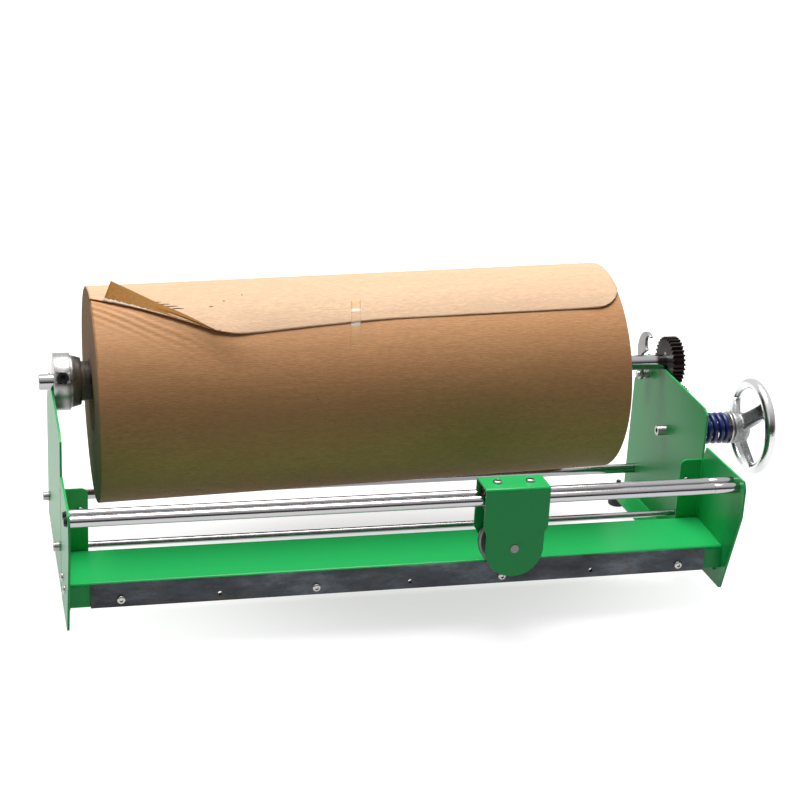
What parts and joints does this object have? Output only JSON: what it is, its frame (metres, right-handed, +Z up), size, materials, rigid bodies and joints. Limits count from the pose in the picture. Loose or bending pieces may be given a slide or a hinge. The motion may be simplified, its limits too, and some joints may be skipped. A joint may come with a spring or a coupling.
{
  "type": "gift wrap paper cutter",
  "caption": "Counter cutter for gift wrap: a paper roll on a mandrel with a geared spring brake, a table with a fixed blade, and a wheel cutter sliding on guide rods.",
  "frame": {"origin": "middle of the whole part's outline, at the level the rubber feet stand on", "axes": "+X along the roll towards the brake and handwheel, +Y from the cutting edge back towards the roll, +Z up"},
  "size_m": [0.7192, 0.3156, 0.2805],
  "materials": {
    "green_coat": "satin powder coat",
    "blued_steel": "dark blued",
    "chromed_steel": "polished",
    "bright_steel": "turned, bright",
    "zinc_screws": "bright zinc",
    "black_screws": "black oxide",
    "dark_gear_steel": "dark, oiled",
    "bronze": "satin",
    "friction_lining": "rough",
    "blue_spring": "gloss",
    "cast_aluminium": "polished",
    "latch_steel": "satin",
    "black_plastic": "smooth",
    "foot_rubber": "matt",
    "kraft_paper": "uncoated paper",
    "core_card": "uncoated cardboard"
  },
  "bodies": {
    "frame": {"left_side_plate": "green_coat", "right_side_plate": "green_coat", "left_wing_plate": "green_coat", "right_wing_plate": "green_coat", "cutting_table": "green_coat", "fixed_blade": "blued_steel", "blade_screws": "zinc_screws", "blade_nuts": "zinc_screws", "front_guide_rod": "chromed_steel", "rear_guide_rod": "chromed_steel", "guide_rod_spacers": "chromed_steel", "guide_rod_screws": "black_screws", "paper_rod": "chromed_steel", "paper_rod_screws": "bright_steel", "rear_tie_bar": "chromed_steel", "tie_bar_screws": "bright_steel", "table_screws": "zinc_screws", "flange_screws": "zinc_screws", "flange_nuts": "zinc_screws", "rubber_feet": "foot_rubber", "foot_studs": "black_screws", "foot_nuts": "zinc_screws", "brake_stud": "bright_steel", "inner_friction_disc": "friction_lining", "outer_friction_disc": "friction_lining", "pressure_plate": "bright_steel", "brake_spring": "blue_spring", "latch_pivot_bolt": "bright_steel", "latch_nut": "bright_steel", "latch_washer": "bright_steel"},
    "roll": {"paper_roll": "kraft_paper", "core_tube": "core_card", "paper_flap": "kraft_paper"},
    "mandrel": {"mandrel_shaft": "chromed_steel", "left_collar": "bright_steel", "left_core_plug": "bright_steel", "left_set_screw": "black_screws", "right_collar": "bright_steel", "right_core_plug": "bright_steel", "right_set_screw": "black_screws", "drive_gear": "dark_gear_steel", "gear_key": "bright_steel", "shaft_retaining_ring": "bright_steel"},
    "brake_gear": {"brake_gear": "dark_gear_steel", "brake_gear_bush": "bronze"},
    "adjuster": {"thrust_washer": "bright_steel"},
    "handwheel": {"handwheel": "cast_aluminium"},
    "latch": {"shaft_latch": "latch_steel"},
    "carriage": {"carriage_housing": "green_coat", "slider_block": "black_plastic", "slider_bushes": "bronze", "housing_screws": "zinc_screws", "cutter_axle": "bright_steel", "axle_nut": "zinc_screws", "axle_spacers": "bright_steel"},
    "cutter": {"cutter_wheel": "bright_steel", "wheel_bearing": "bright_steel"}
  },
  "joints": [
    {"name": "roll_spin", "type": "hinge", "parent": "frame", "child": "roll", "pos_m": [-0.3116, 0.05655, 0.1642], "axis": [0.9996, 0, 0.0274], "continuous": true},
    {"name": "mandrel_spin", "type": "hinge", "parent": "frame", "child": "mandrel", "pos_m": [-0.0436, 0.05655, 0.1784], "axis": [1, 0, 0], "continuous": true},
    {"name": "brake_gear_spin", "type": "hinge", "parent": "frame", "child": "brake_gear", "pos_m": [0.26985, 0.03115, 0.11414], "axis": [1, 0, 0], "continuous": true},
    {"name": "brake_adjust_slide", "type": "slide", "parent": "frame", "child": "adjuster", "axis": [1, 0, 0], "range_m": [-0.0015, 0.003], "deforming": ["brake_spring"]},
    {"name": "handwheel_turn", "type": "hinge", "parent": "adjuster", "child": "handwheel", "pos_m": [0.3285, 0.03115, 0.11414], "axis": [1, 0, 0], "range_deg": [-360, 720]},
    {"name": "latch_swing", "type": "hinge", "parent": "frame", "child": "latch", "pos_m": [0.2511, 0.08915, 0.1547], "axis": [1, 0, 0], "range_deg": [-40, 32]},
    {"name": "carriage_slide", "type": "slide", "parent": "frame", "child": "carriage", "axis": [1, 0, 0], "range_m": [-0.356, 0.18]},
    {"name": "cutter_spin", "type": "hinge", "parent": "carriage", "child": "cutter", "pos_m": [0.0444, -0.13265, 0.0808], "axis": [0, 1, 0], "continuous": true}
  ],
  "couplings": [
    {"joint": "mandrel_spin", "follows": "roll_spin", "ratio": 1},
    {"joint": "brake_gear_spin", "follows": "roll_spin", "ratio": -0.53333},
    {"joint": "brake_adjust_slide", "follows": "handwheel_turn", "m_per_rad": 0.00023873},
    {"joint": "cutter_spin", "follows": "carriage_slide", "rad_per_m": 36.364}
  ]
}
